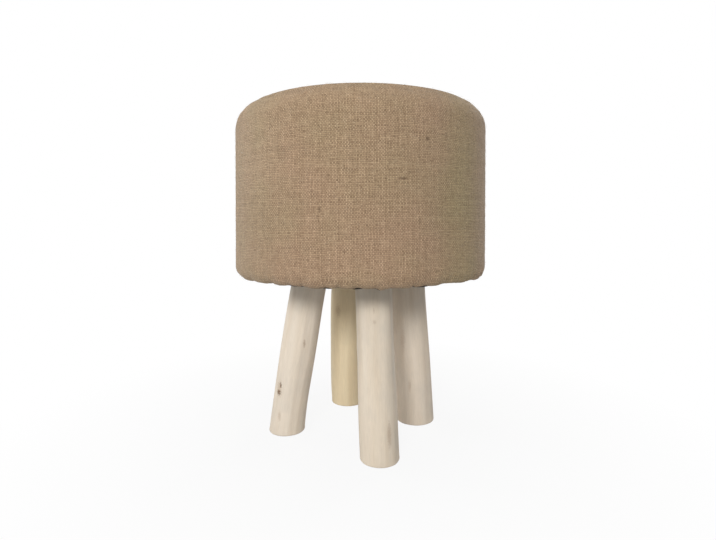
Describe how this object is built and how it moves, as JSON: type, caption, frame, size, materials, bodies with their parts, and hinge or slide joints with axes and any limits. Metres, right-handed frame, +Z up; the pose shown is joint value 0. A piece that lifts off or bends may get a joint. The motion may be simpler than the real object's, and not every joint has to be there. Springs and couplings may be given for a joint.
{
  "type": "jute stool",
  "caption": "Low round drum stool: crowned padded seat in a sewn jute cover, standing on splayed peeled branch legs.",
  "frame": {"origin": "on the floor, straight under the middle of the round seat", "axes": "+Z up; -Y towards the front leg and +X towards the right leg, the picture's camera standing in front and a little to the left"},
  "size_m": [0.31, 0.31, 0.4124],
  "materials": {
    "jute": "coarse plain-weave burlap, matt and fuzzy",
    "wadding": "white polyester wadding",
    "foam": "open-cell upholstery foam",
    "plywood": "raw plywood",
    "hardboard": "raw hardboard",
    "sawn_wood": "sawn softwood",
    "peeled_wood": "peeled branch, bare, dry and pale",
    "nonwoven": "black nonwoven cloth",
    "zinc_steel": "zinc plated",
    "staple_wire": "galvanised wire"
  },
  "bodies": {
    "root": {"jute_top_panel": "jute", "jute_side_band": "jute", "top_wadding": "wadding", "side_wadding": "wadding", "seat_foam": "foam", "top_board": "plywood", "base_board": "plywood", "drum_wall": "hardboard", "post_1": "sawn_wood", "post_2": "sawn_wood", "post_3": "sawn_wood", "post_4": "sawn_wood", "post_screws_lower": "zinc_steel", "post_screws_upper": "zinc_steel", "wall_pins_lower": "zinc_steel", "wall_pins_upper": "zinc_steel", "cover_staples": "staple_wire", "dust_cover": "nonwoven", "dust_cover_staples": "staple_wire", "t_nuts": "zinc_steel", "hanger_bolts": "zinc_steel", "leg_front": "peeled_wood", "leg_right": "peeled_wood", "leg_back": "peeled_wood", "leg_left": "peeled_wood"}
  },
  "joints": []
}
